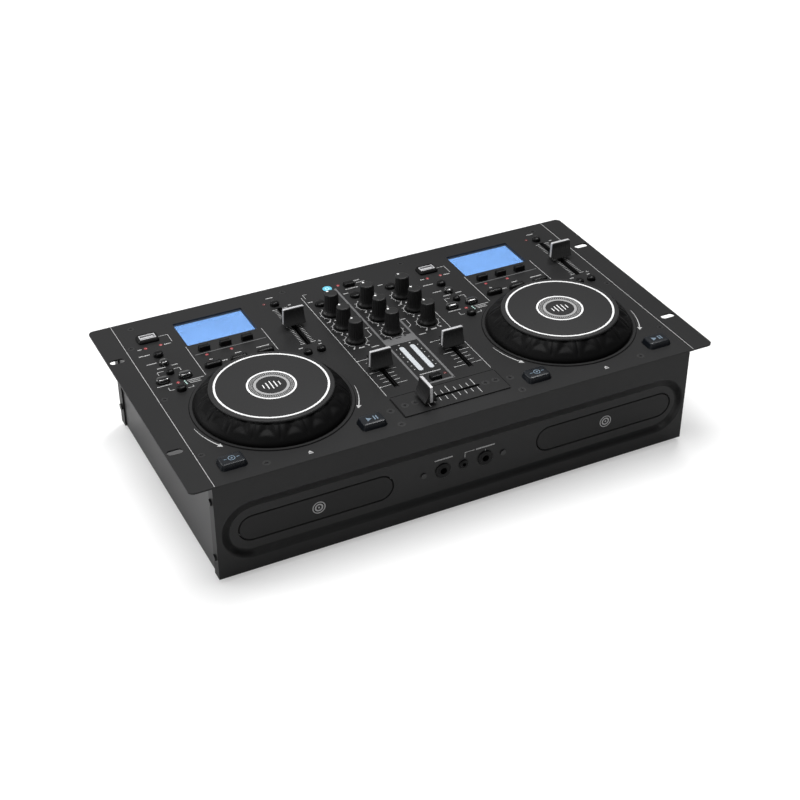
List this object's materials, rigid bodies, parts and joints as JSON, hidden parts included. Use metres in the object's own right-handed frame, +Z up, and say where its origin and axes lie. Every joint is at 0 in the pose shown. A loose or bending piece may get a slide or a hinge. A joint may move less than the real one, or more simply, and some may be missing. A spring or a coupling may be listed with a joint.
{
  "type": "dual disc player with mixer",
  "caption": "Rack-mount dual disc player with jog wheels, loading trays, faders, knobs and keys around a small built-in mixer.",
  "frame": {"origin": "on the standing plane under the middle of the top plate", "axes": "+Z up, the front panel with the disc trays faces -Y, +X to the right seen from the front"},
  "size_m": [0.4826, 0.26, 0.1222],
  "materials": {
    "black_steel": "fine satin powder coat",
    "side_steel": "semi-gloss grey-black paint",
    "black_rubber": "matt",
    "black_zinc": "black zinc",
    "clear_window": "clear",
    "blue_display": "lit blue",
    "white_lens": "translucent white",
    "black_plastic": "moulded, satin",
    "satin_plastic": "fine matt texture",
    "nickel": "nickel plated",
    "led_plastic": "clear tinted",
    "green_board": "solder mask",
    "zinc_steel": "zinc plated",
    "silver_aluminium": "satin",
    "blue_grey_plastic": "translucent, satin",
    "white_plastic": "moulded"
  },
  "bodies": {
    "chassis": {"top_plate": "black_steel", "crossfader_plate": "black_steel", "front_panel": "black_steel", "rear_panel": "black_steel", "chassis_tray": "side_steel", "rubber_feet": "black_rubber", "case_screws": "black_zinc", "lcd_lenses": "clear_window", "lcd_modules": "blue_display", "meter_lenses": "white_lens", "usb_bezels": "black_plastic", "usb_sockets": "nickel", "status_leds": "led_plastic", "front_jacks": "black_plastic", "control_boards": "green_board", "main_board": "green_board", "power_supply": "green_board", "disc_mechanisms": "zinc_steel", "rear_sockets": "black_plastic", "power_inlet": "black_plastic", "jog_posts": "zinc_steel", "fader_bodies": "zinc_steel", "knob_potentiometers": "zinc_steel", "key_switches": "black_plastic"},
    "left_jog": {"left_jog_wheel": "black_plastic", "left_jog_plate": "satin_plastic"},
    "left_tray": {"left_disc_tray": "satin_plastic", "left_tray_fascia": "satin_plastic"},
    "left_tray_gear": {"left_tray_gear": "white_plastic"},
    "left_disc_hub": {"left_disc_hub": "satin_plastic"},
    "left_laser_sled": {"left_laser_sled": "satin_plastic"},
    "left_pitch_fader": {"left_pitch_fader": "satin_plastic"},
    "left_channel_fader": {"left_channel_fader": "satin_plastic"},
    "left_cue_button": {"left_cue_button": "blue_grey_plastic"},
    "left_play_button": {"left_play_button": "blue_grey_plastic"},
    "left_deck_buttons": {"left_deck_buttons": "black_plastic"},
    "right_jog": {"right_jog_wheel": "black_plastic", "right_jog_plate": "satin_plastic"},
    "right_tray": {"right_disc_tray": "satin_plastic", "right_tray_fascia": "satin_plastic"},
    "right_tray_gear": {"right_tray_gear": "white_plastic"},
    "right_disc_hub": {"right_disc_hub": "satin_plastic"},
    "right_laser_sled": {"right_laser_sled": "satin_plastic"},
    "right_pitch_fader": {"right_pitch_fader": "satin_plastic"},
    "right_channel_fader": {"right_channel_fader": "satin_plastic"},
    "right_cue_button": {"right_cue_button": "blue_grey_plastic"},
    "right_play_button": {"right_play_button": "blue_grey_plastic"},
    "right_deck_buttons": {"right_deck_buttons": "black_plastic"},
    "crossfader": {"crossfader": "satin_plastic"},
    "left_front_knob": {"left_front_knob": "black_plastic"},
    "left_centre_knob": {"left_centre_knob": "black_plastic"},
    "left_back_knob": {"left_back_knob": "black_plastic"},
    "middle_front_knob": {"middle_front_knob": "black_plastic"},
    "middle_centre_knob": {"middle_centre_knob": "black_plastic"},
    "middle_back_knob": {"middle_back_knob": "black_plastic"},
    "right_front_knob": {"right_front_knob": "black_plastic"},
    "right_centre_knob": {"right_centre_knob": "black_plastic"},
    "right_back_knob": {"right_back_knob": "black_plastic"},
    "mixer_buttons": {"mixer_buttons": "black_plastic"},
    "power_rocker": {"power_rocker": "black_plastic"}
  },
  "joints": [
    {"name": "left_jog_spin", "type": "hinge", "parent": "chassis", "child": "left_jog", "pos_m": [-0.13725, -0.043, 0.105], "axis": [0, 0, 1], "continuous": true},
    {"name": "left_tray_slide", "type": "slide", "parent": "chassis", "child": "left_tray", "axis": [0, -1, 0], "range_m": [0, 0.142]},
    {"name": "left_tray_gear_turn", "type": "hinge", "parent": "chassis", "child": "left_tray_gear", "pos_m": [-0.17745, -0.1, 0.038], "axis": [0, 0, 1], "range_deg": [-10, 690]},
    {"name": "left_disc_spin", "type": "hinge", "parent": "chassis", "child": "left_disc_hub", "pos_m": [-0.13365, -0.045, 0.04], "axis": [0, 0, 1], "continuous": true},
    {"name": "left_sled_slide", "type": "slide", "parent": "chassis", "child": "left_laser_sled", "axis": [0, 1, 0], "range_m": [0, 0.033]},
    {"name": "left_pitch_slide", "type": "slide", "parent": "chassis", "child": "left_pitch_fader", "axis": [0, 1, 0], "range_m": [-0.03, 0.03]},
    {"name": "left_channel_slide", "type": "slide", "parent": "chassis", "child": "left_channel_fader", "axis": [0, 1, 0], "range_m": [-0.0272, 0.0178]},
    {"name": "left_cue_press", "type": "slide", "parent": "chassis", "child": "left_cue_button", "axis": [0, 0, -1], "range_m": [0, 0.001], "stiffness_N_per_m": 400, "springref_m": -0.0004},
    {"name": "left_play_press", "type": "slide", "parent": "chassis", "child": "left_play_button", "axis": [0, 0, -1], "range_m": [0, 0.001], "stiffness_N_per_m": 400, "springref_m": -0.0004},
    {"name": "left_deck_press", "type": "slide", "parent": "chassis", "child": "left_deck_buttons", "axis": [0, 0, -1], "range_m": [0, 0.001], "stiffness_N_per_m": 900, "springref_m": -0.0004},
    {"name": "right_jog_spin", "type": "hinge", "parent": "chassis", "child": "right_jog", "pos_m": [0.13725, -0.043, 0.105], "axis": [0, 0, 1], "continuous": true},
    {"name": "right_tray_slide", "type": "slide", "parent": "chassis", "child": "right_tray", "axis": [0, -1, 0], "range_m": [0, 0.142]},
    {"name": "right_tray_gear_turn", "type": "hinge", "parent": "chassis", "child": "right_tray_gear", "pos_m": [0.09505, -0.1, 0.038], "axis": [0, 0, 1], "range_deg": [-10, 690]},
    {"name": "right_disc_spin", "type": "hinge", "parent": "chassis", "child": "right_disc_hub", "pos_m": [0.13885, -0.045, 0.04], "axis": [0, 0, 1], "continuous": true},
    {"name": "right_sled_slide", "type": "slide", "parent": "chassis", "child": "right_laser_sled", "axis": [0, 1, 0], "range_m": [0, 0.033]},
    {"name": "right_pitch_slide", "type": "slide", "parent": "chassis", "child": "right_pitch_fader", "axis": [0, 1, 0], "range_m": [-0.03, 0.03]},
    {"name": "right_channel_slide", "type": "slide", "parent": "chassis", "child": "right_channel_fader", "axis": [0, 1, 0], "range_m": [-0.0302, 0.0148]},
    {"name": "right_cue_press", "type": "slide", "parent": "chassis", "child": "right_cue_button", "axis": [0, 0, -1], "range_m": [0, 0.001], "stiffness_N_per_m": 400, "springref_m": -0.0004},
    {"name": "right_play_press", "type": "slide", "parent": "chassis", "child": "right_play_button", "axis": [0, 0, -1], "range_m": [0, 0.001], "stiffness_N_per_m": 400, "springref_m": -0.0004},
    {"name": "right_deck_press", "type": "slide", "parent": "chassis", "child": "right_deck_buttons", "axis": [0, 0, -1], "range_m": [0, 0.001], "stiffness_N_per_m": 900, "springref_m": -0.0004},
    {"name": "crossfader_slide", "type": "slide", "parent": "chassis", "child": "crossfader", "axis": [1, 0, 0], "range_m": [0, 0.046]},
    {"name": "left_front_turn", "type": "hinge", "parent": "chassis", "child": "left_front_knob", "pos_m": [-0.0352, 0.0129, 0.11], "axis": [0, 0, 1], "range_deg": [-180, 120]},
    {"name": "left_centre_turn", "type": "hinge", "parent": "chassis", "child": "left_centre_knob", "pos_m": [-0.0352, 0.0385, 0.11], "axis": [0, 0, 1], "range_deg": [-180, 120]},
    {"name": "left_back_turn", "type": "hinge", "parent": "chassis", "child": "left_back_knob", "pos_m": [-0.0352, 0.064, 0.11], "axis": [0, 0, 1], "range_deg": [-180, 120]},
    {"name": "middle_front_turn", "type": "hinge", "parent": "chassis", "child": "middle_front_knob", "pos_m": [0, 0.0129, 0.11], "axis": [0, 0, 1], "range_deg": [-180, 120]},
    {"name": "middle_centre_turn", "type": "hinge", "parent": "chassis", "child": "middle_centre_knob", "pos_m": [0, 0.0385, 0.11], "axis": [0, 0, 1], "range_deg": [-180, 120]},
    {"name": "middle_back_turn", "type": "hinge", "parent": "chassis", "child": "middle_back_knob", "pos_m": [0, 0.064, 0.11], "axis": [0, 0, 1], "range_deg": [-180, 120]},
    {"name": "right_front_turn", "type": "hinge", "parent": "chassis", "child": "right_front_knob", "pos_m": [0.0352, 0.0129, 0.11], "axis": [0, 0, 1], "range_deg": [-180, 120]},
    {"name": "right_centre_turn", "type": "hinge", "parent": "chassis", "child": "right_centre_knob", "pos_m": [0.0352, 0.0385, 0.11], "axis": [0, 0, 1], "range_deg": [-180, 120]},
    {"name": "right_back_turn", "type": "hinge", "parent": "chassis", "child": "right_back_knob", "pos_m": [0.0352, 0.064, 0.11], "axis": [0, 0, 1], "range_deg": [-180, 120]},
    {"name": "mixer_press", "type": "slide", "parent": "chassis", "child": "mixer_buttons", "axis": [0, 0, -1], "range_m": [0, 0.001], "stiffness_N_per_m": 400, "springref_m": -0.0004},
    {"name": "rocker_tilt", "type": "hinge", "parent": "chassis", "child": "power_rocker", "pos_m": [-0.145, 0.1215, 0.032], "axis": [1, 0, 0], "range_deg": [-16, 0]}
  ],
  "couplings": [
    {"joint": "left_tray_gear_turn", "follows": "left_tray_slide", "rad_per_m": 83.333},
    {"joint": "right_tray_gear_turn", "follows": "right_tray_slide", "rad_per_m": 83.333}
  ]
}
